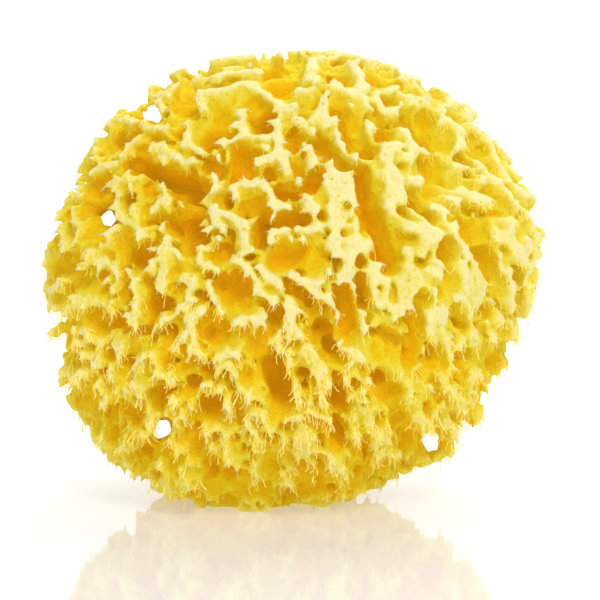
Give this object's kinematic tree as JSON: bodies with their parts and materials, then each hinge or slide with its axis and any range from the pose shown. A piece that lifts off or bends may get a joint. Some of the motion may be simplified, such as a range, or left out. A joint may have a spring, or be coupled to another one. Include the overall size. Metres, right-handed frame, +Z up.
{
  "type": "sea sponge",
  "caption": "Natural bath sponge: a rounded golden body with pale jagged ridges of skin between deep rounded holes, cut off flat underneath.",
  "frame": {"origin": "centre of the flat cut underneath, where the sponge stood on the sea floor and where it rests", "axes": "+Z up out of the cut, -Y towards the side seen in the picture, +X to the right in the picture"},
  "size_m": [0.1402, 0.1151, 0.1245],
  "materials": {
    "sponge": "dry bleached sponge skeleton: matt, fibrous, pale cream on the torn tips of the skin, golden yellow below them and deep orange down the holes"
  },
  "bodies": {
    "root": {"sea_sponge": "sponge"}
  },
  "joints": []
}
